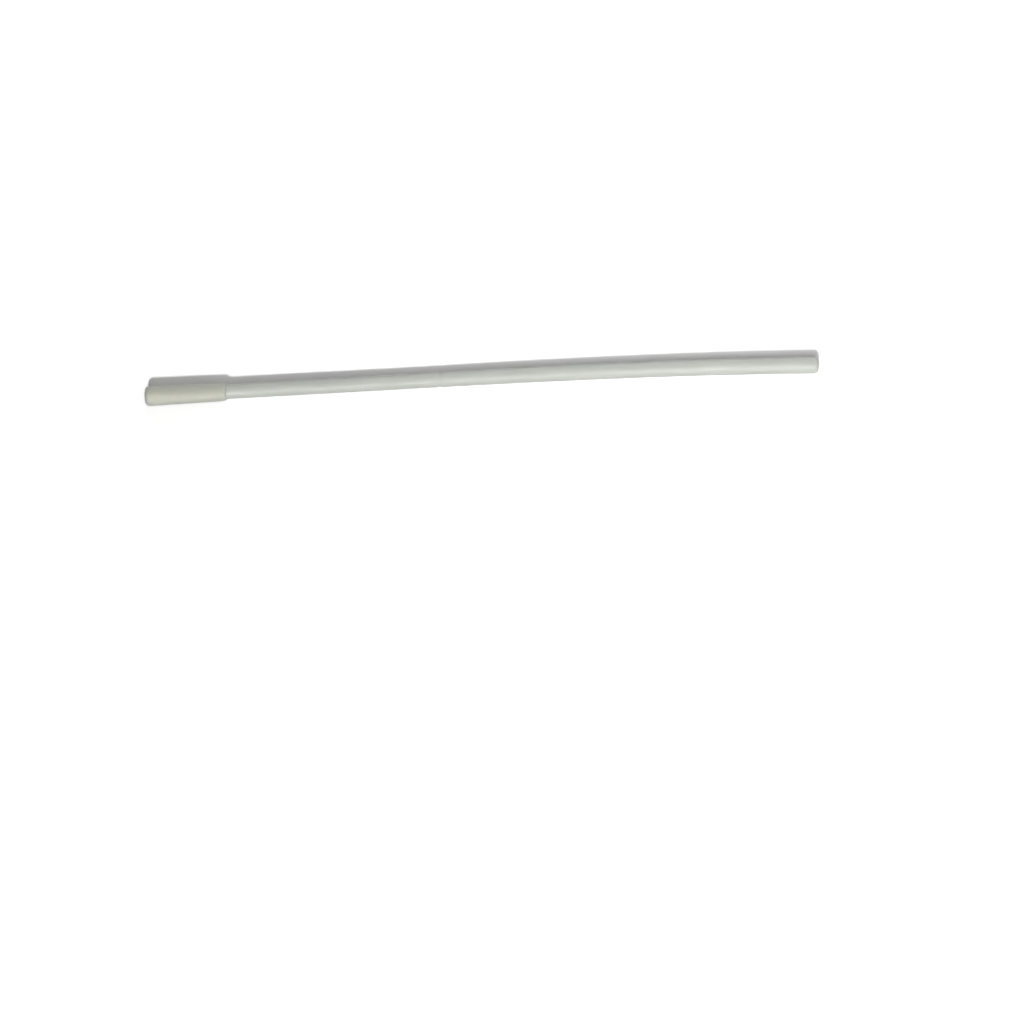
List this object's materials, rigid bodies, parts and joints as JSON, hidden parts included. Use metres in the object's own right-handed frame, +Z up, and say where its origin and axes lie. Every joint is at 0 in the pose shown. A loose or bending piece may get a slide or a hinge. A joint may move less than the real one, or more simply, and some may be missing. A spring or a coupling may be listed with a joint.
{
  "type": "sampling swab",
  "caption": "Slim round plastic stick with a soft, blunt, fibre-flocked tip on its nose, for taking a specimen by rubbing a surface.",
  "frame": {"origin": "on the table, under the middle of the swab's bounding box", "axes": "+X along the swab from the fibre tip to the plain end of the stick, +Z up off the table"},
  "size_m": [0.15, 0.0048, 0.0043],
  "materials": {
    "stick": "satin off-white, as moulded",
    "flock": "dense upright cream-white fibres"
  },
  "bodies": {
    "root": {"stick": "stick", "flocked_tip": "flock"}
  },
  "joints": []
}
